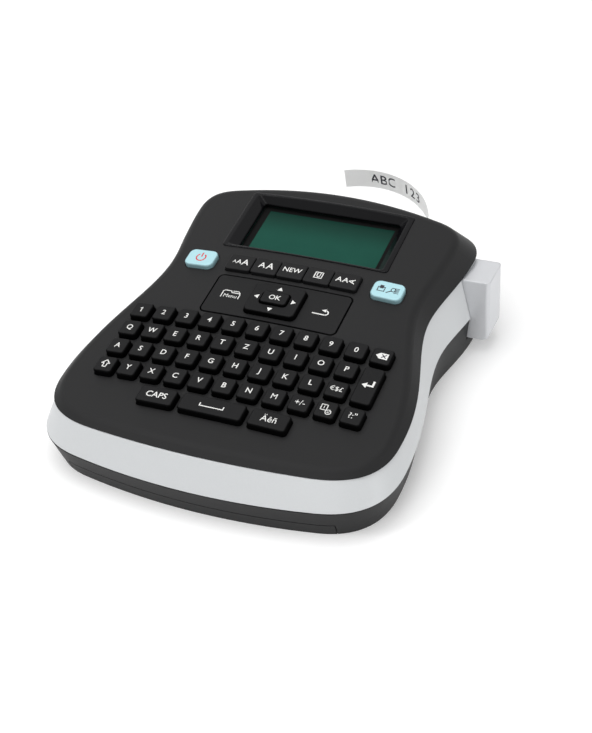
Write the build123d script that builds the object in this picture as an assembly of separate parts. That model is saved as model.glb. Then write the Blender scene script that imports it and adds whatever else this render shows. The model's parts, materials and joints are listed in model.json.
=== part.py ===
from build123d import *
import os
from math import atan2, cos, degrees, dist, pi, radians, sin, sqrt

os.makedirs("parts", exist_ok=True)

# Sizes in millimetres. The deck frame lies on the top cover: x right, v up the slope, w out of it.
deck_tilt = 10.0
deck_y = -22.0
deck_z = 31.5
crown_radius = 640.0
wall = 2.0
seam = 0.2
hole_gap = 0.3
far = 250.0

# Half outlines: front, front corner x, widest x, waist x, rear x, rear corner x, back
band_low_z = 10.0
band_high_z = 50.0
base_high_z = 23.0
skirt_low_w = -16.0
skirt_high_w = 2.0
band_low = (-70.2, 46.5, 69.1, 60.0, 64.3, 48.0, 87.8)
band_high = (-44.5, 38.5, 56.7, 49.5, 55.8, 42.0, 81.8)
base_low = (-65.5, 45.0, 64.6, 56.0, 60.2, 45.0, 82.2)
base_high = (-72.5, 46.5, 70.3, 59.5, 63.3, 47.0, 87.4)
skirt_low = (-62.6, 47.0, 77.0, 58.8, 62.4, 49.0, 109.5)
skirt_high = (-34.4, 38.5, 57.2, 48.4, 51.0, 42.0, 98.2)
front_sag = 4.2
back_sag = 6.0
rim_radius = 4.0
base_seam_front = 12.0
base_seam_slope = 1.9
cover_seam_drop = 4.7
cover_seam_slope = 6.4
cover_seam_radius = 1000.0

# Keys
pitch_x = 9.6
pitch_v = 9.77
first_row_v = 17.95
key_size = 7.7
key_corner = 1.3
key_rise = 2.5
key_edge = 0.8
key_foot_w = -4.4
mat_w = -5.5
mat_thick = 0.6
mat_half = 53.0
mat_front = -27.0
mat_step = 25.0
mat_top_half = 44.0
mat_back = 57.0
panel_low_w = -2.8
cradle_low_w = -4.9
cradle_thick = 1.2
board_thick = 1.2
main_board_w = -8.4
panel_board_w = -7.7
enter_height = 17.4
bottom_row_v = -21.7
wide_key = 14.5
wide_key_x = 21.6
space_width = 24.5
function_v = 51.15
function_pitch = 10.8
function_height = 8.3
function_rise = 1.6
panel_v = 34.4
panel_width = 54.0
panel_height = 19.8
panel_rise = 0.1
panel_gap = 0.7
pad_width = 20.4
pad_height = 15.3
pad_rise = 1.9
ok_width = 10.5
ok_height = 6.0
ok_rise = 2.7
side_button_x = 38.4
side_button_v = 50.65
side_button_width = 12.2
side_button_height = 8.9
side_button_rise = 1.7

# Display
frame_v = 77.15
frame_width = 68.6
frame_height = 32.9
glass_width = 55.6
glass_height = 26.6
glass_v = 76.6
glass_w = -4.8
glass_thick = 1.2

# Mechanism, in the deck frame
tape_x = 34.6
tape_width = 9.0
tape_mid_w = -19.2
tape_thick = 0.2
tape_curl = 33.8
tape_curl_v = 100.4
tape_turn = 112.0
gear_module = 0.8
gear_low_w = -12.3
gear_thick = 2.0
plate_low_w = -14.0
plate_thick = 1.4
plate_left = -40.0
plate_right = 44.0
plate_front = 40.0
plate_back = 79.0
platen_v = 74.0
platen_radius = 3.9
platen_teeth = 16
idler_teeth = 22
pinion_teeth = 10
ribbon_teeth = 20
shaft_radius = 1.0
shaft_gap = 0.05
motor_radius = 6.0
motor_length = 15.0
cassette_left = -36.0
cassette_right = 24.0
cassette_front_v = 54.0
cassette_back_v = 89.0
cassette_low_w = -27.5
cassette_high_w = -14.4
cassette_wall = 1.5
cassette_corner = 4.0
spool_x = -14.0
spool_radius = 14.0
spool_core = 5.0
spindle_radius = 2.6
spindle_gap = 0.6

# Cutter push block, in the world frame
block_out = 69.3
block_in = 55.0
block_front = 54.2
block_depth = 15.8
block_low = 6.0
block_high = 33.0
block_corner = 3.5
block_travel = 5.0
block_edge = 1.6
cutter_y = 63.5
carriage_z = 21.0
carriage_half = 3.0
blade_clear = 1.2
blade_width = 1.5
blade_thick = 0.6
blade_drop = 2.5
blade_rise = 14.0
blade_point = 2.0
spring_radius = 2.4
spring_wire = 0.4
spring_room = 10.0
spring_drop = 8.0

# Power inlet on the left side
inlet_y = 30.0
inlet_z = 21.0
inlet_radius = 4.2
inlet_bore = 2.75
inlet_pin = 1.0
inlet_out = 55.4
inlet_depth = 9.4
inlet_floor = 2.0

# Underside
floor_thick = 2.0
cell_radius = 7.2
cell_length = 49.5
cell_count = 6
cell_gap = 0.6
cap_radius = 2.6
cap_length = 1.2
contact_size = 9.0
contact_thick = 0.5
cell_back = -5.0
door_half = 51.5
door_back = -3.0
door_lip = 5.2
door_lip_back = -58.0
hatch_half = 30.0
hatch_front = 14.0
hatch_back = 62.0
hinge_radius = 1.0
hinge_z = 3.4
hinge_inset = 2.2
knuckle_radius = 2.0
knuckle_near = 10.0
knuckle_far = 22.0
lug_gap = 0.4
lug_width = 3.6
lug_reach = 6.0
screw_head = 2.6
screw_shank = 1.2
screw_top = 10.5
head_thick = 1.5
head_sink = 0.3
boss_radius = 3.0
boss_top = 9.0
boss_gap = 2.5
front_screw_y = -20.0
middle_screw_y = 8.0
rear_screw_x = 50.0
rear_screw_y = 45.0
foot_radius = 4.0
foot_thick = 0.8
foot_gap = 1.0
front_foot_y = -38.0
rear_foot_x = 42.0
rear_foot_y = 68.0
post_radius = 2.0
post_left = -38.0
post_right = 41.0
post_front = 21.0
post_rear = 53.0

deck = Plane(origin=(0, deck_y, deck_z), x_dir=(1, 0, 0),
             z_dir=(0, -sin(radians(deck_tilt)), cos(radians(deck_tilt))))


def on_deck(shape):
    return deck.location * shape


def box(x0, x1, y0, y1, z0, z1):
    return Pos((x0 + x1) / 2, (y0 + y1) / 2, (z0 + z1) / 2) * Box(x1 - x0, y1 - y0, z1 - z0)


def rod(x, y, z0, z1, radius):
    return Pos(x, y, (z0 + z1) / 2) * Cylinder(radius, z1 - z0)


# Closed plan outline of the body, the same seven stations each time
def outline(stations, height, inset=0.0):
    front, corner_x, widest, waist, rear, rear_corner, back = stations
    front = front + inset
    widest = widest - inset
    waist = waist - inset
    rear = rear - inset
    back = back - inset
    length = back - front
    corner = (corner_x, front + front_sag)
    side = (widest, front + 0.2 * length)
    middle = (waist, front + 0.64 * length)
    shoulder = (rear, front + 0.87 * length)
    tail = (rear_corner, back - back_sag)
    lean = 2 * atan2(front_sag, corner_x)
    tail_lean = 2 * atan2(back_sag, rear_corner)
    edges = [ThreePointArc((-corner[0], corner[1]), (0, front), corner),
             ThreePointArc(tail, (0, back), (-tail[0], tail[1]))]
    for s in (1, -1):
        edges.append(Spline((s * corner[0], corner[1]), (s * side[0], side[1]),
                            tangents=((s * cos(lean), sin(lean)), (0, 1))))
        edges.append(Spline((s * side[0], side[1]), (s * middle[0], middle[1]),
                            (s * shoulder[0], shoulder[1]), tangents=((0, 1), (0, 1))))
        edges.append(Spline((s * shoulder[0], shoulder[1]), (s * tail[0], tail[1]),
                            tangents=((0, 1), (-s * cos(tail_lean), sin(tail_lean)))))
    return Pos(0, 0, height) * make_face(edges)


def tapered(lower, upper):
    return Solid.make_loft([lower.face().outer_wire(), upper.face().outer_wire()], ruled=True)


def band_block(inset):
    return tapered(outline(band_low, band_low_z, inset), outline(band_high, band_high_z, inset))


def base_block(inset):
    return tapered(outline(base_low, 0, inset), outline(base_high, base_high_z, inset))


def cover_block(inset):
    return tapered(outline(skirt_low, skirt_low_w, inset), outline(skirt_high, skirt_high_w, inset))


# Crowned space below the deck surface, raised or lowered by an offset
def crown(offset, radius=crown_radius):
    return Pos(0, 25, -radius) * Rot(90, 0, 0) * Cylinder(radius + offset, 2 * far)


def on_crown(x, v):
    return Pos(0, 0, -crown_radius) * Rot(0, degrees(x / crown_radius), 0) * Pos(0, v, crown_radius)


seam_plane = Plane(origin=(0, deck_y, deck_z - cover_seam_drop), x_dir=(1, 0, 0),
                   z_dir=(0, -sin(radians(cover_seam_slope)), cos(radians(cover_seam_slope))))
below_cover = seam_plane.location * crown(0, cover_seam_radius)
below_band_top = seam_plane.location * crown(-seam, cover_seam_radius)
base_plane = Plane(origin=(0, -70, base_seam_front), x_dir=(1, 0, 0),
                   z_dir=(0, -sin(radians(base_seam_slope)), cos(radians(base_seam_slope))))
above_base = base_plane.location * box(-far, far, -far, far, 0, far)
below_base = base_plane.location * box(-far, far, -far, far, -far, -seam)

parts = {}


def keep(name, *solids):
    parts[name] = solids[0] if len(solids) == 1 else Compound(children=list(solids))


# Key shapes rise from their own origin on the deck surface
def key_solid(width, height, rise, corner=key_corner, edge=key_edge):
    body = extrude(Pos(0, 0, key_foot_w) * RectangleRounded(width, height, corner), rise - key_foot_w)
    return fillet(body.faces().sort_by(Axis.Z)[-1].edges(), edge)


def hole_solid(width, height, corner=key_corner):
    shape = RectangleRounded(width + 2 * hole_gap, height + 2 * hole_gap, corner + hole_gap)
    return Pos(0, 0, -6) * extrude(shape, 20)


holes = []


def place_key(x, v, width, height, rise, corner=key_corner, edge=key_edge):
    holes.append(on_crown(x, v) * hole_solid(width, height, corner))
    return on_deck(on_crown(x, v) * key_solid(width, height, rise, corner, edge))


def letter_key(column, row):
    return place_key(column * pitch_x, first_row_v - row * pitch_v, key_size, key_size, key_rise)


keep("number_keys", *[letter_key(c, 0) for c in range(-5, 5)])
keep("upper_letter_keys", *[letter_key(c, 1) for c in range(-5, 5)])
keep("home_letter_keys", *[letter_key(c, 2) for c in range(-5, 4)])
keep("lower_letter_keys", *[letter_key(c, 3) for c in range(-4, 3)])
keep("backspace_key", letter_key(5, 0))
keep("currency_key", letter_key(4, 2))
keep("shift_key", letter_key(-5, 3))
keep("sign_key", letter_key(3, 3))
keep("symbol_key", letter_key(4, 3))
keep("punctuation_key", letter_key(5, 3))
keep("enter_key", place_key(5 * pitch_x, first_row_v - 1.5 * pitch_v, key_size, enter_height, key_rise))
keep("caps_key", place_key(-wide_key_x, bottom_row_v, wide_key, key_size, key_rise))
keep("space_key", place_key(0, bottom_row_v, space_width, key_size, key_rise))
keep("accent_key", place_key(wide_key_x, bottom_row_v, wide_key, key_size, key_rise))
function_names = ("size_key", "style_key", "new_key", "save_key", "turn_key")
for index, name in enumerate(function_names):
    keep(name, place_key((index - 2) * function_pitch, function_v, function_pitch - hole_gap,
                         function_height, function_rise, 0.9, 0.5))
for side, name in ((-1, "power_button"), (1, "print_button")):
    keep(name, place_key(side * side_button_x, side_button_v, side_button_width, side_button_height,
                         side_button_rise, 2.6, 0.6))

# Rocking panel with menu and back ends, and the four-way pad with its middle key
panel_hole = RectangleRounded(panel_width + 2 * panel_gap, panel_height + 2 * panel_gap, 1.8 + panel_gap)
holes.append(Pos(0, panel_v, -6) * extrude(panel_hole, 20))
panel = Pos(0, panel_v, panel_low_w) * extrude(RectangleRounded(panel_width, panel_height, 1.8), 8)
panel = panel & crown(panel_rise)
panel -= Pos(0, panel_v, -8) * extrude(RectangleRounded(pad_width + 0.9, pad_height + 0.9, 2.4), 20)
keep("menu_panel", on_deck(panel))
pad_shape = RectangleRounded(pad_width, pad_height, 2.0)
pad = Pos(0, panel_v, panel_low_w) * extrude(pad_shape, pad_rise - panel_low_w)
pad = fillet(pad.faces().sort_by(Axis.Z)[-1].edges(), 0.7)
pad -= Pos(0, panel_v, -8) * extrude(RectangleRounded(ok_width + 0.9, ok_height + 0.9, 1.6), 20)
keep("arrow_pad", on_deck(pad))
cradle = Pos(0, panel_v, cradle_low_w) * extrude(RectangleRounded(pad_width - 2, pad_height - 2, 2.0)
                                                 - RectangleRounded(ok_width + 1.4, ok_height + 1.4, 1.6),
                                                 cradle_thick)
keep("pad_cradle", on_deck(cradle))
ok_shape = RectangleRounded(ok_width, ok_height, 1.2)
ok = Pos(0, panel_v, key_foot_w) * extrude(ok_shape, ok_rise - key_foot_w)
keep("ok_key", on_deck(fillet(ok.faces().sort_by(Axis.Z)[-1].edges(), 0.6)))

# Display: sloping glossy frame, clear window, panel behind it
frame_shape = RectangleRounded(frame_width, frame_height, 1.4)
frame = Pos(0, frame_v, glass_w - glass_thick) * extrude(frame_shape, 8)
frame = frame & crown(0.35)
well_top = Pos(0, frame_v, 1.2) * RectangleRounded(frame_width - 0.4, frame_height - 0.4, 1.3)
well_low = Pos(0, glass_v, glass_w) * RectangleRounded(glass_width, glass_height, 1.3)
frame -= loft([well_low.face(), well_top.face()], ruled=True)
frame -= Pos(0, glass_v, glass_w) * Box(glass_width + 3, glass_height + 3, 2 * glass_thick)
keep("display_frame", on_deck(frame))
window = Box(glass_width + 2.8, glass_height + 2.8, glass_thick - 0.05)
keep("display_window", on_deck(Pos(0, glass_v, glass_w - glass_thick / 2 - 0.01) * window))
module = Pos(0, glass_v, glass_w - glass_thick - 1.2) * Box(frame_width - 6, frame_height - 3, 2.2)
keep("display_module", on_deck(module))
frame_hole = RectangleRounded(frame_width + hole_gap, frame_height + hole_gap, 1.5)
holes.append(Pos(0, frame_v, -8) * extrude(frame_hole, 20))

# Top cover: crowned skin with a rolled rim
outer = cover_block(0) & crown(0)
top_face = max(outer.faces(), key=lambda f: f.area if f.center().Z > -5 else 0)
cover_skin = fillet(top_face.edges(), rim_radius)
hollow = cover_block(wall * 1.3) & crown(-wall)
cover = on_deck(cover_skin - hollow - holes) - below_cover
keep("top_cover", cover)

# Pale band between cover and base, and the base with its floor
band = (band_block(0) & above_base & below_band_top) - band_block(wall)
base = (base_block(0) & below_base) - (base_block(wall) & box(-far, far, -far, far, floor_thick, far))

# Cutter block, carriage, blade and spring, all moving toward the tape along x
block_back = block_front + block_depth
block = box(block_in, block_out, block_front, block_back, block_low, block_high)
block = fillet(block.edges().filter_by(Axis.Y).group_by(Axis.X)[-1].sort_by(Axis.Z)[0], block_corner)
block = fillet(block.edges().filter_by(Axis.Z).group_by(Axis.X)[-1], block_edge)
keep("cutter_block", block)
blade_x = tape_x + blade_clear + block_travel
blade_back = blade_x + blade_width
carriage = box(blade_back, block_in, cutter_y - carriage_half, cutter_y + carriage_half,
               carriage_z - carriage_half, carriage_z + carriage_half)
keep("cutter_carriage", carriage)
blade_shape = make_face(Polyline((blade_back, carriage_z - blade_drop),
                                 (blade_back, carriage_z + blade_rise - blade_point),
                                 (blade_x, carriage_z + blade_rise),
                                 (blade_x, carriage_z - blade_drop), close=True))
blade = extrude(Plane.XZ.offset(blade_thick / 2 - cutter_y) * blade_shape, blade_thick)
keep("cutter_blade", blade)
spring_stop = block_in - block_travel - spring_room
spring_z = carriage_z - spring_drop
spring_length = block_in - 0.1 - spring_stop
sleeve = rod(0, 0, 0, spring_length, spring_radius)
sleeve -= rod(0, 0, -1, spring_length + 1, spring_radius - spring_wire)
keep("cutter_spring", Pos(spring_stop, cutter_y, spring_z) * Rot(0, 90, 0) * sleeve)
slot = box(block_in - block_travel - 3, far, block_front - hole_gap, block_back + hole_gap,
           block_low - hole_gap, block_high + hole_gap)
band -= slot
base -= slot
base += box(spring_stop - 2, spring_stop - 0.5, cutter_y - 4, cutter_y + 4, floor_thick / 2, spring_z + 4)

# Slot for the tape in the back of the band
tape_low = tape_mid_w - tape_width / 2
tape_high = tape_mid_w + tape_width / 2
band -= on_deck(box(tape_x - 1.5, tape_x + 1.5, plate_back, far, tape_low - 0.8, tape_high + 0.8))

# Power inlet on the left side
inlet_axis = Pos(0, inlet_y, inlet_z) * Rot(0, -90, 0)
bore_end = inlet_out - inlet_depth
band -= inlet_axis * rod(0, 0, bore_end - 5, far, inlet_radius + hole_gap)
inlet = rod(0, 0, bore_end - inlet_floor, inlet_out, inlet_radius) - rod(0, 0, bore_end, far, inlet_bore)
inlet += rod(0, 0, bore_end - 0.5, inlet_out - 2.4, inlet_pin)
keep("power_inlet", inlet_axis * inlet)

# Battery door with its front lip, sliding out forward
door_zone = box(-door_half, door_half, -far, door_back, -1, floor_thick)
lip_zone = box(-door_half, door_half, -far, door_lip_back, -1, door_lip)
shell = base_block(0) - base_block(wall + 0.4)
keep("battery_door", (base_block(0) & door_zone) + (shell & lip_zone))
bay_half = door_half + hole_gap
base -= box(-bay_half, bay_half, -far, door_back + hole_gap, -1, floor_thick + 0.01)
base -= box(-bay_half, bay_half, -far, door_lip_back + 1, -1, door_lip + hole_gap)

# Cassette hatch hinged at its back edge
hatch = box(-hatch_half, hatch_half, hatch_front, hatch_back, 0, floor_thick)
hinge_y = hatch_back - hinge_inset
knuckle_mid = (knuckle_near + knuckle_far) / 2
knuckle_length = knuckle_far - knuckle_near
lug_near = knuckle_far + lug_gap
lug_far = lug_near + lug_width
base -= box(-hatch_half - hole_gap, hatch_half + hole_gap, hatch_front - hole_gap, hatch_back + hinge_inset,
            -1, floor_thick + 1)
for s in (1, -1):
    turn = Pos(s * knuckle_mid, hinge_y, hinge_z) * Rot(0, 90, 0)
    hatch += turn * Cylinder(knuckle_radius, knuckle_length)
    hatch -= turn * Cylinder(hinge_radius + shaft_gap, knuckle_length + 1)
    left, right = sorted((s * lug_near, s * lug_far))
    hatch -= box(left - lug_gap, right + lug_gap, hinge_y - 4, hatch_back + 1, -1, hinge_z - lug_gap)
    base += box(left, right, hinge_y - 2, hatch_back + lug_reach, hinge_z - 1.2, hinge_z + 2)
    base += box(left, right, hatch_back + 2, hatch_back + lug_reach, floor_thick / 4, hinge_z)
pin = Pos(0, hinge_y, hinge_z) * Rot(0, 90, 0) * Cylinder(hinge_radius, 2 * lug_far)
base -= pin
keep("cassette_hatch", hatch)
keep("hatch_pin", pin)

# Screws in bosses, flush rubber pads
front_screw_x = door_half + boss_radius + boss_gap
screw_rows = ((front_screw_x, front_screw_y), (rear_screw_x, middle_screw_y), (rear_screw_x, rear_screw_y))
head_top = head_sink + head_thick
screws = []
for x, y in [(s * x, y) for s in (1, -1) for x, y in screw_rows]:
    base += rod(x, y, floor_thick, boss_top, boss_radius)
    base -= rod(x, y, -1, head_top, screw_head + 0.1) + rod(x, y, -1, boss_top + 1, screw_shank + 0.1)
    screw = rod(x, y, head_sink, head_top, screw_head) + rod(x, y, head_top - 0.1, screw_top, screw_shank)
    screws.append(screw - box(x - 1.6, x + 1.6, y - 0.3, y + 0.3, 0, head_sink + 0.6))
keep("housing_screws", *screws)
front_foot_x = door_half + foot_radius + foot_gap
foot_rows = ((front_foot_x, front_foot_y), (rear_foot_x, rear_foot_y))
feet = []
for x, y in [(s * x, y) for s in (1, -1) for x, y in foot_rows]:
    base -= rod(x, y, -1, foot_thick, foot_radius)
    feet.append(rod(x, y, 0, foot_thick, foot_radius - shaft_gap))
keep("rubber_feet", *feet)

# Posts that carry the mechanism plate
above_posts = on_deck(box(-far, far, -far, far, plate_low_w, far))
for x in (post_left, post_right):
    for y in (post_front, post_rear):
        base += rod(x, y, floor_thick / 2, block_high + far / 8, post_radius) - above_posts
keep("base_shell", base)
keep("middle_band", band)

# Six round cells lying side by side, with their contacts
cells = []
contacts = []
for index in range(cell_count):
    x = (index - (cell_count - 1) / 2) * (2 * cell_radius + cell_gap)
    turn = Pos(x, cell_back, floor_thick + cell_radius + cell_gap) * Rot(90, 0, 0)
    can = rod(0, 0, 0, cell_length - cap_length, cell_radius)
    cells.append(turn * (can + rod(0, 0, cell_length - cap_length - 0.3, cell_length, cap_radius)))
    for end in (-0.6, cell_length + 0.4):
        contacts.append(turn * Pos(0, 0, end) * Box(contact_size, contact_size, contact_thick))
keep("battery_cells", *cells)
keep("battery_contacts", *contacts)

# Keypad mat and main board under the deck
mat = box(-mat_half, mat_half, mat_front, mat_step, -20, 0)
mat += box(-mat_top_half, mat_top_half, mat_step - 5, mat_back, -20, 0)
mat = (mat & crown(mat_w)) - crown(mat_w - mat_thick)
main_board = box(1 - mat_half, mat_half - 1, mat_front, mat_step - 1,
                 main_board_w - board_thick, main_board_w)
panel_board = box(1 - mat_top_half, mat_top_half - 1, mat_step - 0.5, mat_back,
                  panel_board_w - board_thick, panel_board_w)
keep("keypad_mat", on_deck(mat))
keep("main_board", on_deck(main_board))
keep("panel_board", on_deck(panel_board))


# Straight gear with involute flanks, thinned a little so the pair runs free
def gear(teeth, turn):
    pitch_r = gear_module * teeth / 2
    base_r = pitch_r * cos(radians(20))
    tip_r = pitch_r + 0.85 * gear_module
    root_r = pitch_r - 1.15 * gear_module
    start_r = max(base_r, root_r)
    half = pi / (2 * teeth) - 0.1 / pitch_r

    def swing(r):
        a = sqrt(max((r / base_r) ** 2 - 1, 0))
        return a - atan2(a, 1)

    points = []
    for tooth in range(teeth):
        mid = radians(turn) + 2 * pi * tooth / teeth
        flank = [start_r + (tip_r - start_r) * i / 3 for i in range(4)]
        angles = [half + swing(pitch_r) - swing(r) for r in flank]
        points.append((root_r, mid - angles[0]))
        points += [(r, mid - a) for r, a in zip(flank, angles)]
        points += [(r, mid + a) for r, a in zip(reversed(flank), reversed(angles))]
        points.append((root_r, mid + angles[0]))
    ring = [(r * cos(a), r * sin(a)) for r, a in points]
    clean = [p for p, last in zip(ring, ring[-1:] + ring[:-1]) if dist(p, last) > 1e-3]
    return Pos(0, 0, gear_low_w) * extrude(make_face(Polyline(*clean, close=True)), gear_thick)


def beside(spot, teeth_a, teeth_b, angle):
    reach = gear_module * (teeth_a + teeth_b) / 2
    return (spot[0] + reach * cos(radians(angle)), spot[1] + reach * sin(radians(angle)))


# Turn that puts a space of the second gear where a tooth of the first points along the centre line
def mesh_turn(turn_a, teeth_a, teeth_b, angle):
    lead = ((angle - turn_a) * teeth_a / 360.0) % 1.0
    return angle + 180 + (0.5 + lead) * 360.0 / teeth_b


platen_spot = (tape_x - tape_thick / 2 - 0.1 - platen_radius, platen_v)
idler_angle = -80.0
pinion_angle = -95.0
ribbon_angle = 165.0
idler_spot = beside(platen_spot, platen_teeth, idler_teeth, idler_angle)
pinion_spot = beside(idler_spot, idler_teeth, pinion_teeth, pinion_angle)
ribbon_spot = beside(idler_spot, idler_teeth, ribbon_teeth, ribbon_angle)
idler_turn = 0.0
platen_turn = mesh_turn(idler_turn, idler_teeth, platen_teeth, idler_angle + 180)
pinion_turn = mesh_turn(idler_turn, idler_teeth, pinion_teeth, pinion_angle)
ribbon_turn = mesh_turn(idler_turn, idler_teeth, ribbon_teeth, ribbon_angle)

gear_top = gear_low_w + gear_thick
plate_top = plate_low_w + plate_thick
plate = box(plate_left, plate_right, plate_front, plate_back, plate_low_w, plate_top)
for spot in (platen_spot, pinion_spot, ribbon_spot):
    plate -= rod(*spot, plate_low_w - 1, plate_top + 1, shaft_radius + shaft_gap)
idler_pin = rod(*idler_spot, plate_low_w, gear_top + 0.3, shaft_radius)
plate -= idler_pin
keep("mechanism_plate", on_deck(plate))
keep("idler_pin", on_deck(idler_pin))
idler = Pos(*idler_spot) * gear(idler_teeth, idler_turn)
idler -= rod(*idler_spot, plate_low_w, 0, shaft_radius + shaft_gap)
keep("idler_gear", on_deck(idler))
keep("platen_gear", on_deck(Pos(*platen_spot) * gear(platen_teeth, platen_turn)))
keep("platen_shaft", on_deck(rod(*platen_spot, tape_low - 2, gear_low_w, shaft_radius)))
roller = rod(*platen_spot, tape_low - 1, tape_high + 0.3, platen_radius)
roller -= rod(*platen_spot, tape_low - 2, 0, shaft_radius)
keep("platen_roller", on_deck(roller))
keep("motor_pinion", on_deck(Pos(*pinion_spot) * gear(pinion_teeth, pinion_turn)
                             + rod(*pinion_spot, plate_low_w - 1, gear_low_w, shaft_radius)))
keep("drive_motor", on_deck(rod(*pinion_spot, plate_low_w - motor_length, plate_low_w - 0.01, motor_radius)
                            - rod(*pinion_spot, plate_low_w - 3, 0, shaft_radius + 0.3)))
keep("ribbon_gear", on_deck(Pos(*ribbon_spot) * gear(ribbon_teeth, ribbon_turn)
                            + rod(*ribbon_spot, plate_low_w - 0.5, gear_low_w, shaft_radius)))
keep("ribbon_spindle", on_deck(rod(*ribbon_spot, cassette_low_w + 3, plate_low_w - 0.5, spindle_radius)))
head = box(tape_x + tape_thick / 2 + 0.1, tape_x + 2.2, platen_v - 4, platen_v + 4,
           tape_low - 1, plate_low_w)
keep("print_head", on_deck(head))

# Cassette with a drive hole, the spools inside seen as one body, and the printed tape leaving it
cassette = box(cassette_left, cassette_right, cassette_front_v, cassette_back_v,
               cassette_low_w, cassette_high_w)
cassette = fillet(cassette.edges().filter_by(Axis.Z), cassette_corner)
cassette -= box(cassette_left + cassette_wall, cassette_right - cassette_wall,
                cassette_front_v + cassette_wall, cassette_back_v - cassette_wall,
                cassette_low_w + cassette_wall, cassette_high_w - cassette_wall)
cassette -= rod(*ribbon_spot, cassette_low_w + 2, 0, spindle_radius + spindle_gap)
keep("tape_cassette", on_deck(cassette))
spool_v = (cassette_front_v + cassette_back_v) / 2
spool = rod(spool_x, spool_v, cassette_low_w + 2, cassette_high_w - 2, spool_radius)
spool -= rod(spool_x, spool_v, cassette_low_w, 0, spool_core)
keep("tape_spool", on_deck(spool))

mid = tape_x - tape_curl
end = radians(tape_turn)
half_turn = end / 2


def curl(radius, angle):
    return (mid + radius * cos(angle), tape_curl_v + radius * sin(angle))


inner_r = tape_curl - tape_thick / 2
outer_r = tape_curl + tape_thick / 2
tape_start = platen_v - 6
strip = make_face([Line((mid + inner_r, tape_start), (mid + inner_r, tape_curl_v)),
                   ThreePointArc(curl(inner_r, 0), curl(inner_r, half_turn), curl(inner_r, end)),
                   Line(curl(inner_r, end), curl(outer_r, end)),
                   ThreePointArc(curl(outer_r, end), curl(outer_r, half_turn), curl(outer_r, 0)),
                   Line((mid + outer_r, tape_curl_v), (mid + outer_r, tape_start)),
                   Line((mid + outer_r, tape_start), (mid + inner_r, tape_start))])
keep("label_tape", on_deck(Pos(0, 0, tape_low) * extrude(strip, tape_width)))

for name, shape in parts.items():
    export_step(shape, f"parts/{name}.step")
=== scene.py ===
import json
from math import cos, pi, radians, sin
import bpy
from mathutils import Matrix, Vector


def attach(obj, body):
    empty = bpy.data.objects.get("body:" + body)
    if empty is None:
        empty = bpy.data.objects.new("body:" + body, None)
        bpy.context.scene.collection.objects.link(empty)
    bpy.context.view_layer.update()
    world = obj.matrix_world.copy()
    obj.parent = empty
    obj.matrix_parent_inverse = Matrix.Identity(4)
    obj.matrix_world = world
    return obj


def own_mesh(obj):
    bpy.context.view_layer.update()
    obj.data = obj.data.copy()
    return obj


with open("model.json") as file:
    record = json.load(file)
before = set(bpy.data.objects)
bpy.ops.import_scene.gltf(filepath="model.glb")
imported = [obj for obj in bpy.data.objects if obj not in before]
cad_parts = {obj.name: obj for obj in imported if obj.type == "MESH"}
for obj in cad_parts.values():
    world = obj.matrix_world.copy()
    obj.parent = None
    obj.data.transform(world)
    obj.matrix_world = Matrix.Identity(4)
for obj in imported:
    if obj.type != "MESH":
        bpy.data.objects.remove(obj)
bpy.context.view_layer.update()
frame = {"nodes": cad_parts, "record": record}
MM = 0.001

# Deck frame of the top cover, the same as in the solid model
deck_tilt = radians(10.0)
deck_spot = Vector((0.0, -22.0, 31.5)) * MM
deck_normal = Vector((0.0, -sin(deck_tilt), cos(deck_tilt)))
deck_slope = Vector((0.0, cos(deck_tilt), sin(deck_tilt)))
deck = Matrix.Translation(deck_spot) @ Matrix.Rotation(deck_tilt, 4, "X")
crown_radius = 640.0

# Places of keys and buttons on the deck, and how far their tops stand out of it
pitch_x = 9.6
pitch_v = 9.77
first_row_v = 17.95
key_rise = 2.5
bottom_row_v = -21.7
wide_key_x = 21.6
function_v = 51.15
function_pitch = 10.8
function_rise = 1.6
panel_v = 34.4
panel_end_x = 18.6
panel_rise = 0.1
pad_rise = 1.9
ok_rise = 2.7
side_button_x = 38.4
side_button_v = 50.65
side_button_rise = 1.7
ink_lift = 0.02


# Place on the crowned deck, with z along the surface normal there
def on_crown(x, v, rise):
    turn = Matrix.Rotation(x / crown_radius, 4, "Y")
    drop = Matrix.Translation((0, 0, -crown_radius * MM))
    out = Matrix.Translation((0, v * MM, (crown_radius + rise + ink_lift) * MM))
    return deck @ drop @ turn @ out


# Place over the middle of the deck, square to it
def on_deck(v, w):
    return deck @ Matrix.Translation((0, v * MM, w * MM))


# New shader node with its operation and the values of its inputs
def add_node(tree, kind, operation=None, values=None):
    node = tree.nodes.new("ShaderNode" + kind)
    if operation:
        node.operation = operation
    for name, value in (values or {}).items():
        node.inputs[name].default_value = value
    return node


# How far a direction or a place lies along an axis
def measure_along(tree, source, axis):
    dot = add_node(tree, "VectorMath", "DOT_PRODUCT", {1: axis})
    tree.links.new(source, dot.inputs[0])
    return dot.outputs["Value"]


# Base colour scaled by a share that differs from point to point
def scale_color(tree, shader, share):
    color_input = shader.inputs["Base Color"]
    tone = add_node(tree, "VectorMath", "SCALE")
    tree.links.new(color_input.links[0].from_socket, tone.inputs[0])
    tree.links.new(share, tone.inputs["Scale"])
    tree.links.new(tone.outputs["Vector"], color_input)


wall_lean = 0.80
top_lean = 0.97


# Painted shade: faces that lean away from the deck normal lose colour and shine, so the walls of keys and
# buttons stand darker than their tops
def paint_wall_shade(tree, shader, normal, share, specular):
    lean = measure_along(tree, normal, deck_normal)
    top = add_node(tree, "MapRange", values={"From Min": wall_lean, "From Max": top_lean, "To Min": share})
    tree.links.new(lean, top.inputs["Value"])
    scale_color(tree, shader, top.outputs["Result"])
    gloss = add_node(tree, "Math", "MULTIPLY", {1: specular})
    tree.links.new(top.outputs["Result"], gloss.inputs[0])
    tree.links.new(gloss.outputs["Value"], shader.inputs["Specular IOR Level"])


grain_detail = 3.0
rough_spread = 0.05
relief_depth = 0.0001
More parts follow.
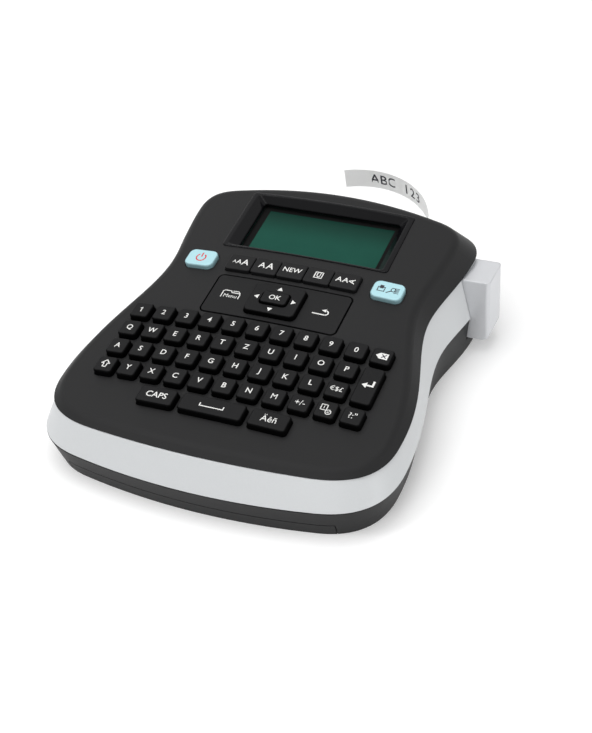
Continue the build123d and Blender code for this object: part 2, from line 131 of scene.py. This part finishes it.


# Plastic, rubber, metal or ink with fine grain; edge is a radius that softens corners in shading only; a wall
# share below one paints shade on the walls
def finish(name, color, rough, metal=0.0, grain=0.03, scale=900.0, bump=0.05, specular=0.5,
           wall_shade_share=1.0, edge=0.0):
    mat = bpy.data.materials.new(name)
    mat.use_nodes = True
    tree = mat.node_tree
    links = tree.links
    shader = tree.nodes["Principled BSDF"]
    place = add_node(tree, "TexCoord")
    noise = add_node(tree, "TexNoise", values={"Scale": scale, "Detail": grain_detail})
    links.new(place.outputs["Object"], noise.inputs["Vector"])
    ramp = add_node(tree, "ValToRGB")
    ramp.color_ramp.elements[0].color = (*[c * (1 - grain) for c in color], 1)
    ramp.color_ramp.elements[1].color = (*[min(1.0, c * (1 + grain)) for c in color], 1)
    links.new(noise.outputs["Fac"], ramp.inputs["Fac"])
    links.new(ramp.outputs["Color"], shader.inputs["Base Color"])
    shine = add_node(tree, "MapRange", values={"To Min": max(0.0, rough - rough_spread),
                                               "To Max": min(1.0, rough + rough_spread)})
    links.new(noise.outputs["Fac"], shine.inputs["Value"])
    links.new(shine.outputs["Result"], shader.inputs["Roughness"])
    relief = add_node(tree, "Bump", values={"Strength": bump, "Distance": relief_depth})
    links.new(noise.outputs["Fac"], relief.inputs["Height"])
    links.new(relief.outputs["Normal"], shader.inputs["Normal"])
    shader.inputs["Metallic"].default_value = metal
    shader.inputs["Specular IOR Level"].default_value = specular
    normal = add_node(tree, "NewGeometry").outputs["Normal"]
    if edge:
        normal = add_node(tree, "Bevel", values={"Radius": edge * MM}).outputs["Normal"]
        links.new(normal, relief.inputs["Normal"])
    # Painted shade on faces that lean away from the deck
    if wall_shade_share < 1.0:
        paint_wall_shade(tree, shader, normal, wall_shade_share, specular)
    return mat


# Finish of each material slot
finish_settings = {
    "cover_plastic": dict(color=(0.0125, 0.0125, 0.013), rough=0.5, scale=2600, bump=0.25, specular=0.14),
    "band_plastic": dict(color=(0.58, 0.595, 0.605), rough=0.35, scale=1800, bump=0.04),
    "base_plastic": dict(color=(0.0105, 0.0105, 0.011), rough=0.5, scale=2400, bump=0.2, specular=0.24),
    "gloss_frame": dict(color=(0.005, 0.005, 0.006), rough=0.07, bump=0.0, specular=0.13, edge=0.8),
    "clear_window": dict(color=(0.0097, 0.070, 0.0495), rough=0.2, grain=0.06, scale=120, bump=0.0,
                         specular=0.06),
    "display_glass": dict(color=(0.03, 0.10, 0.08), rough=0.3, bump=0.0),
    # key_rubber and cyan_plastic get painted shade on their walls
    "key_rubber": dict(color=(0.006, 0.006, 0.0065), rough=0.55, scale=2000, bump=0.15, specular=0.12,
                       wall_shade_share=0.2, edge=0.5),
    "panel_plastic": dict(color=(0.0075, 0.0075, 0.008), rough=0.48, scale=2400, bump=0.15, specular=0.13),
    "cyan_plastic": dict(color=(0.42, 0.69, 0.75), rough=0.4, scale=1500, bump=0.04, wall_shade_share=0.6, edge=0.5),
    "circuit_board": dict(color=(0.02, 0.16, 0.06), rough=0.4),
    "cell_jacket": dict(color=(0.08, 0.08, 0.09), rough=0.3),
    "spring_metal": dict(color=(0.7, 0.7, 0.69), rough=0.3, metal=1.0),
    "steel": dict(color=(0.55, 0.56, 0.58), rough=0.35, metal=1.0),
    "cassette_plastic": dict(color=(0.12, 0.12, 0.13), rough=0.5),
    "paper_white": dict(color=(0.97, 0.97, 0.96), rough=0.45, grain=0.01),
    "alu": dict(color=(0.7, 0.71, 0.73), rough=0.35, metal=1.0),
    "gear_plastic": dict(color=(0.75, 0.75, 0.7), rough=0.45),
    "brass": dict(color=(0.7, 0.5, 0.2), rough=0.3, metal=1.0),
    "silver_plastic": dict(color=(0.62, 0.63, 0.65), rough=0.36, metal=0.35, scale=1500, bump=0.05, edge=0.8),
}
finishes = {name: finish(name, **settings) for name, settings in finish_settings.items()}
ink_white = finish("ink_white", (0.80, 0.80, 0.78), rough=0.6, grain=0.02)
ink_dark = finish("ink_dark", (0.02, 0.02, 0.03), rough=0.6, grain=0.02)
# Black of the display border, partly painted shade under the frame
border_shade_black = finish("border_shade_black", (0.003, 0.003, 0.003), rough=0.4, grain=0.02, specular=0.05)
ink_red = finish("ink_red", (0.62, 0.03, 0.04), rough=0.5, grain=0.02)

# The display loses light toward the top of its frame
shade_low_v = 74.0
shade_top_v = 90.0
shade_top_share = 0.45
shade_tree = finishes["clear_window"].node_tree
shade_start = deck_spot.dot(deck_slope)
shade_place = add_node(shade_tree, "TexCoord")
shade_height = measure_along(shade_tree, shade_place.outputs["Object"], deck_slope)
shade = add_node(shade_tree, "MapRange", values={"From Min": shade_start + shade_low_v * MM,
                                                 "From Max": shade_start + shade_top_v * MM,
                                                 "To Min": 1.0, "To Max": shade_top_share})
shade.interpolation_type = "SMOOTHSTEP"
shade_tree.links.new(shade_height, shade.inputs["Value"])
scale_color(shade_tree, shade_tree.nodes["Principled BSDF"], shade.outputs["Result"])

for entry in frame["record"]["subparts"]:
    piece = frame["nodes"][entry["node"]]
    piece.data.materials.clear()
    piece.data.materials.append(finishes[entry["material_slot"]])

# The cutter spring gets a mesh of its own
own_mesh(frame["nodes"]["cutter_spring"])

bold_share = 0.010
fine_letters = "Mêñ+?€"


# Printed word, a thin shape lying on a key
def word(body, text, spot, size, ink=ink_white, squeeze=1.0):
    curve = bpy.data.curves.new("legend", "FONT")
    curve.body = text
    curve.size = size * MM
    curve.align_x = "CENTER"
    curve.align_y = "CENTER"
    curve.resolution_u = 3
    if not set(text) & set(fine_letters):
        curve.offset = bold_share * size * MM
    obj = bpy.data.objects.new("legend_" + body, curve)
    bpy.context.collection.objects.link(obj)
    obj.matrix_world = spot @ Matrix.Diagonal((squeeze, 1, 1, 1))
    curve.materials.append(ink)
    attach(obj, body)


# Printed sign of flat faces, in millimetres about its middle
def sign(body, spot, faces, ink=ink_white):
    mesh = bpy.data.meshes.new("sign")
    verts = []
    polys = []
    for face in faces:
        polys.append(list(range(len(verts), len(verts) + len(face))))
        verts += [(x * MM, y * MM, 0) for x, y in face]
    mesh.from_pydata(verts, [], polys)
    obj = bpy.data.objects.new("sign_" + body, mesh)
    bpy.context.collection.objects.link(obj)
    obj.matrix_world = spot
    mesh.materials.append(ink)
    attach(obj, body)


def bar(x0, x1, y0, y1):
    return [(x0, y0), (x1, y0), (x1, y1), (x0, y1)]


# Flat line of a given width along a few points
def stroke(points, width):
    faces = []
    for start, stop in zip(points, points[1:]):
        a = Vector(start)
        b = Vector(stop)
        along = (b - a).normalized() * width / 2
        side = Vector((-along.y, along.x))
        faces.append([a - along + side, a - along - side, b + along - side, b + along + side])
    return faces


def moved(faces, dx, dy):
    return [[(x + dx, y + dy) for x, y in face] for face in faces]


# Flat ring or part of one, between two angles in degrees
def ring_band(radius, width, start, stop, steps=20):
    low = radius - width / 2
    top = radius + width / 2
    faces = []
    for i in range(steps):
        a = radians(start + (stop - start) * i / steps)
        b = radians(start + (stop - start) * (i + 1) / steps)
        faces.append([(low * cos(a), low * sin(a)), (top * cos(a), top * sin(a)),
                      (top * cos(b), top * sin(b)), (low * cos(b), low * sin(b))])
    return faces


def shifted(spot, x, y, z=0.0):
    return spot @ Matrix.Translation((x * MM, y * MM, z * MM))


def key_spot(column, row):
    return on_crown(column * pitch_x, first_row_v - row * pitch_v, key_rise)


def function_spot(index, dx=0.0):
    return on_crown((index - 2) * function_pitch + dx, function_v, function_rise)


# Rows of letters and figures: body, what its keys say, and the first column
letter_size = 3.3
figure_one = [(-0.45, 0.6), (0.1, 1.0), (0.1, -1.0)]
letter_rows = (("number_keys", "1234567890", -5), ("upper_letter_keys", "QWERTZUIOP", -5),
               ("home_letter_keys", "ASDFGHJKL", -5), ("lower_letter_keys", "YXCVBNM", -4))
for row, (body, letters, first) in enumerate(letter_rows):
    for index, letter in enumerate(letters):
        spot = key_spot(first + index, row)
        if letter == "1":
            sign(body, spot, stroke(figure_one, width=0.36))
        else:
            word(body, letter, spot, letter_size)

# Single words: body, text, place and letter height
single_words = (
    ("currency_key", "€$£", key_spot(4, 2), 2.8),
    ("sign_key", "+/-", key_spot(3, 3), 3.4),
    ("symbol_key", "1", shifted(key_spot(4, 3), -0.9, 0.7), 2.0),
    ("punctuation_key", "?:\"", key_spot(5, 3), 3.6),
    ("caps_key", "CAPS", on_crown(-wide_key_x, bottom_row_v, key_rise), 3.6),
    ("accent_key", "Äêñ", on_crown(wide_key_x, bottom_row_v, key_rise), 3.7),
    ("new_key", "NEW", function_spot(2), 3.3),
    ("ok_key", "OK", on_deck(panel_v, ok_rise + ink_lift), 3.2),
)
for body, text, spot, size in single_words:
    word(body, text, spot, size)

# Signs on the keys
delete_tag = [(-2.3, 0), (-0.8, 1.4), (2.2, 1.4), (2.2, -1.4), (-0.8, -1.4)]
delete_cross = stroke([(0.0, 0.7), (1.4, -0.7)], width=0.4) + stroke([(0.0, -0.7), (1.4, 0.7)], width=0.4)
sign("backspace_key", key_spot(5, 0), [delete_tag])
sign("backspace_key", shifted(key_spot(5, 0), 0, 0, ink_lift), delete_cross, ink_dark)
arrow_up = [(0, 1.8), (1.6, 0.2), (0.7, 0.2), (0.7, -1.5), (-0.7, -1.5), (-0.7, 0.2), (-1.6, 0.2), (0, 1.8)]
sign("shift_key", key_spot(-5, 3), stroke(arrow_up, width=0.42))
arrow_left = [(-2.2, 0), (-0.4, 1.3), (-0.4, 0.35), (2.2, 0.35), (2.2, -0.35), (-0.4, -0.35), (-0.4, -1.3)]
enter_spot = on_crown(5 * pitch_x, first_row_v - 1.5 * pitch_v, key_rise)
sign("enter_key", enter_spot, [arrow_left, bar(1.4, 2.2, 0.4, 2.4)])
sign("space_key", on_crown(0, bottom_row_v, key_rise),
     [bar(-4.7, 4.7, -0.8, -0.4), bar(-4.7, -4.3, -0.4, 0.7), bar(4.3, 4.7, -0.4, 0.7)])
symbol_box = [(-2.0, -0.5), (0.2, -0.5), (0.2, 1.9), (-2.0, 1.9), (-2.0, -0.5)]
symbol_face = [bar(0.7, 1.5, -1.5, -1.2), bar(0.6, 0.9, -0.9, -0.6), bar(1.3, 1.6, -0.9, -0.6)]
symbol_ring = moved(ring_band(1.0, 0.3, 0, 360), 1.1, -1.1)
sign("symbol_key", key_spot(4, 3), stroke(symbol_box, width=0.3) + symbol_ring + symbol_face)

# Function keys: letters that grow, two letters, a framed sign, and letters of which one is turned
for dx, size in ((-2.5, 2.1), (-0.6, 3.1), (2.1, 4.3)):
    word("size_key", "A", function_spot(0, dx), size)
word("style_key", "A", function_spot(1, -1.6), 4.0)
word("style_key", "A", function_spot(1, 1.7), 4.6, squeeze=0.95)
save_frame = [(-1.5, -1.5), (1.5, -1.5), (1.5, 1.5), (-1.5, 1.5), (-1.5, -1.5)]
save_arms = stroke([(-0.6, 1.2), (-0.6, -0.3)], width=0.35) + stroke([(0.6, 1.2), (0.6, -0.3)], width=0.35)
save_bow = moved(ring_band(0.6, 0.35, 180, 360, 8), 0, -0.3)
sign("save_key", function_spot(3), stroke(save_frame, width=0.4) + save_arms + save_bow)
turn_size = 3.5
word("turn_key", "A", function_spot(4, -2.6), turn_size)
word("turn_key", "A", function_spot(4, 0.0), turn_size)
word("turn_key", "A", function_spot(4, 2.6) @ Matrix.Rotation(pi / 2, 4, "Z"), turn_size)

# Arrow pad
pad_spot = on_deck(panel_v, pad_rise + ink_lift)
tip = 1.1
tip_reach = tip * 0.8
pad_arrow = [(-tip_reach, -tip), (tip_reach, 0), (-tip_reach, tip)]
for angle, reach in ((0, 7.6), (90, 5.6), (180, 7.6), (270, 5.6)):
    turn = Matrix.Rotation(radians(angle), 4, "Z") @ Matrix.Translation((reach * MM, 0, 0))
    sign("arrow_pad", pad_spot @ turn, [pad_arrow])

# Menu folder and back arrow on the two ends of the panel
menu_spot = on_crown(-panel_end_x, panel_v, panel_rise)
folder = [(-3.6, -1.4), (-3.6, 1.6), (-3.0, 2.2), (-0.6, 2.2),
          (0.1, 1.3), (3.0, 1.3), (3.6, 0.8), (3.6, -1.4)]
folder_tab = [(0.4, 2.2), (2.6, 2.2), (3.3, 1.5)]
sign("menu_panel", menu_spot, stroke(folder, width=0.4) + stroke(folder_tab, width=0.35))
word("menu_panel", "Menu", shifted(menu_spot, 0, -0.6), 2.5)
back_line = stroke([(-3.2, -1.3), (1.4, -1.3)], width=0.5)
back_bend = moved(ring_band(1.1, 0.5, -90, 80, 10), 1.4, -0.2)
back_tip = [(-0.4, 0.9), (1.4, 1.7), (1.4, 0.1)]
sign("menu_panel", on_crown(panel_end_x, panel_v, panel_rise), back_line + back_bend + [back_tip])

# Power and print buttons
power_spot = on_crown(-side_button_x, side_button_v, side_button_rise)
sign("power_button", power_spot, ring_band(1.9, 0.55, 125, 415) + [bar(-0.28, 0.28, 0.3, 2.6)], ink_red)
print_spot = on_crown(side_button_x, side_button_v, side_button_rise)
printer_box = [(-1.3, -1.3), (1.3, -1.3), (1.3, 0.8), (-1.3, 0.8), (-1.3, -1.3)]
printer = moved(stroke(printer_box, width=0.35), -2.6, 0.2) + [bar(-3.4, -1.9, 0.3, 2.0)]
lens = moved(ring_band(0.9, 0.35, 0, 360), 2.0, 0.6) + stroke([(1.3, -0.1), (-0.2, -1.3)], width=0.45)
label_line = 0.28
label_lines = [bar(2.4, 4.2, y, y + label_line) for y in (-1.0, -0.4, 0.2, 0.8, 1.4)]
sign("print_button", print_spot, printer + lens + label_lines, ink_dark)

# Dark border of the display, out to the edges of the window: partly the frame's dark inner wall, partly
# painted shade that the frame casts on the display
window_x = 29.1
window_v = 14.6
lit_left = -25.9
lit_right = 27.3
lit_top = 12.0
glass_v = 76.6
glass_w = -4.815
sign("housing", on_deck(glass_v, glass_w),
     [bar(-window_x, lit_left, -window_v, window_v), bar(lit_right, window_x, -window_v, window_v),
      bar(lit_left, lit_right, lit_top, window_v)], border_shade_black)

# Print on the inner side of the curling tape
tape_x = 34.6
tape_curl = 33.8
tape_curl_v = 100.4
tape_mid_w = -19.2
tape_print = tape_curl - 0.14
tape_text = "ABC 123"
tape_size = 6.6
tape_step = 6.8
for index, letter in enumerate(tape_text):
    if letter == " ":
        continue
    angle = radians(90.0 - tape_step * index)
    x = tape_x - tape_curl + tape_print * cos(angle)
    v = tape_curl_v + tape_print * sin(angle)
    facing = Matrix(((sin(angle), 0, -cos(angle), x * MM), (-cos(angle), 0, -sin(angle), v * MM),
                     (0, 1, 0, tape_mid_w * MM), (0, 0, 0, 1)))
    word("housing", letter, deck @ facing, tape_size, ink_dark)


# Larger of two shader values
def larger(tree, first, second):
    node = add_node(tree, "Math", "MAXIMUM")
    tree.links.new(first, node.inputs[0])
    tree.links.new(second, node.inputs[1])
    return node.outputs["Value"]


# Strength that differs for rays that see the backdrop and for the light that falls on the object
def seen_strength(tree, plain, seen):
    path = add_node(tree, "LightPath")
    straight = larger(tree, path.outputs["Is Camera Ray"], path.outputs["Is Glossy Ray"])
    every = larger(tree, straight, path.outputs["Is Transmission Ray"])
    level = add_node(tree, "MapRange", values={"To Min": plain, "To Max": seen})
    tree.links.new(every, level.inputs["Value"])
    return level.outputs["Result"]


# Pale floor, which fades into the white of the backdrop away from the object
floor_size = 3.0
floor_near = 0.25
floor_far = 0.8
floor_near_glow = 0.16
floor_mesh = bpy.data.meshes.new("floor")
floor_mesh.from_pydata([(-floor_size, -floor_size, 0), (floor_size, -floor_size, 0),
                        (floor_size, floor_size, 0), (-floor_size, floor_size, 0)], [], [(0, 1, 2, 3)])
floor = bpy.data.objects.new("floor", floor_mesh)
bpy.context.collection.objects.link(floor)
floor_pale = finish("floor_pale", (0.95, 0.95, 0.95), rough=0.7, grain=0.005, scale=20, bump=0.0,
                    specular=0.1)
floor_mesh.materials.append(floor_pale)
floor_tree = floor_pale.node_tree
floor_place = add_node(floor_tree, "NewGeometry")
floor_reach = add_node(floor_tree, "VectorMath", "LENGTH")
floor_tree.links.new(floor_place.outputs["Position"], floor_reach.inputs[0])
floor_fade = add_node(floor_tree, "MapRange", values={"From Min": floor_near, "From Max": floor_far,
                                                      "To Min": floor_near_glow, "To Max": 1.0})
floor_tree.links.new(floor_reach.outputs["Value"], floor_fade.inputs["Value"])
floor_level = add_node(floor_tree, "Math", "MULTIPLY")
floor_tree.links.new(floor_fade.outputs["Result"], floor_level.inputs[0])
floor_tree.links.new(seen_strength(floor_tree, plain=0.0, seen=1.0), floor_level.inputs[1])
floor_shader = floor_tree.nodes["Principled BSDF"]
floor_shader.inputs["Emission Color"].default_value = (1, 1, 1, 1)
floor_tree.links.new(floor_level.outputs["Value"], floor_shader.inputs["Emission Strength"])

# White backdrop that gives only a plain level of light
scene = bpy.context.scene
world = bpy.data.worlds.new("studio")
world.use_nodes = True
backdrop = world.node_tree.nodes["Background"]
backdrop.inputs["Color"].default_value = (1, 1, 1, 1)
world.node_tree.links.new(seen_strength(world.node_tree, plain=0.32, seen=1.0), backdrop.inputs["Strength"])
scene.world = world
scene.view_settings.view_transform = "Standard"


def lamp(name, spot, aim, size, power):
    light = bpy.data.lights.new(name, "AREA")
    light.size = size
    light.energy = power
    obj = bpy.data.objects.new(name, light)
    obj.location = spot
    obj.rotation_euler = (Vector(aim) - Vector(spot)).to_track_quat("-Z", "Y").to_euler()
    bpy.context.collection.objects.link(obj)


lamp("top_light", spot=(-0.22, -0.08, 1.1), aim=(0, 0, 0), size=1.2, power=8.5)
lamp("front_light", spot=(0.0, -0.9, 0.8), aim=(0, 0, 0.04), size=0.6, power=2.6)
lamp("key_light", spot=(-0.55, -0.5, 0.75), aim=(0, 0, 0.02), size=0.2, power=1.3)
lamp("right_light", spot=(0.95, 0.0, 0.4), aim=(0, 0, 0.02), size=0.5, power=2.8)

# Camera at the angle of the photo
eye = Vector((195.73, -373.75, 323.75)) * MM
forward = Vector((-0.356, 0.7245, -0.5901)).normalized()
roll = radians(4.696)
right = Matrix.Rotation(roll, 3, forward) @ forward.cross(Vector((0, 0, 1))).normalized()
up = right.cross(forward)
camera = bpy.data.cameras.new("camera")
camera.lens = 68.65
camera.sensor_width = 36.0
camera.clip_start = 0.01
camera_obj = bpy.data.objects.new("camera", camera)
camera_obj.matrix_world = Matrix(((right.x, up.x, -forward.x, eye.x), (right.y, up.y, -forward.y, eye.y),
                                  (right.z, up.z, -forward.z, eye.z), (0, 0, 0, 1)))
bpy.context.collection.objects.link(camera_obj)
scene.camera = camera_obj
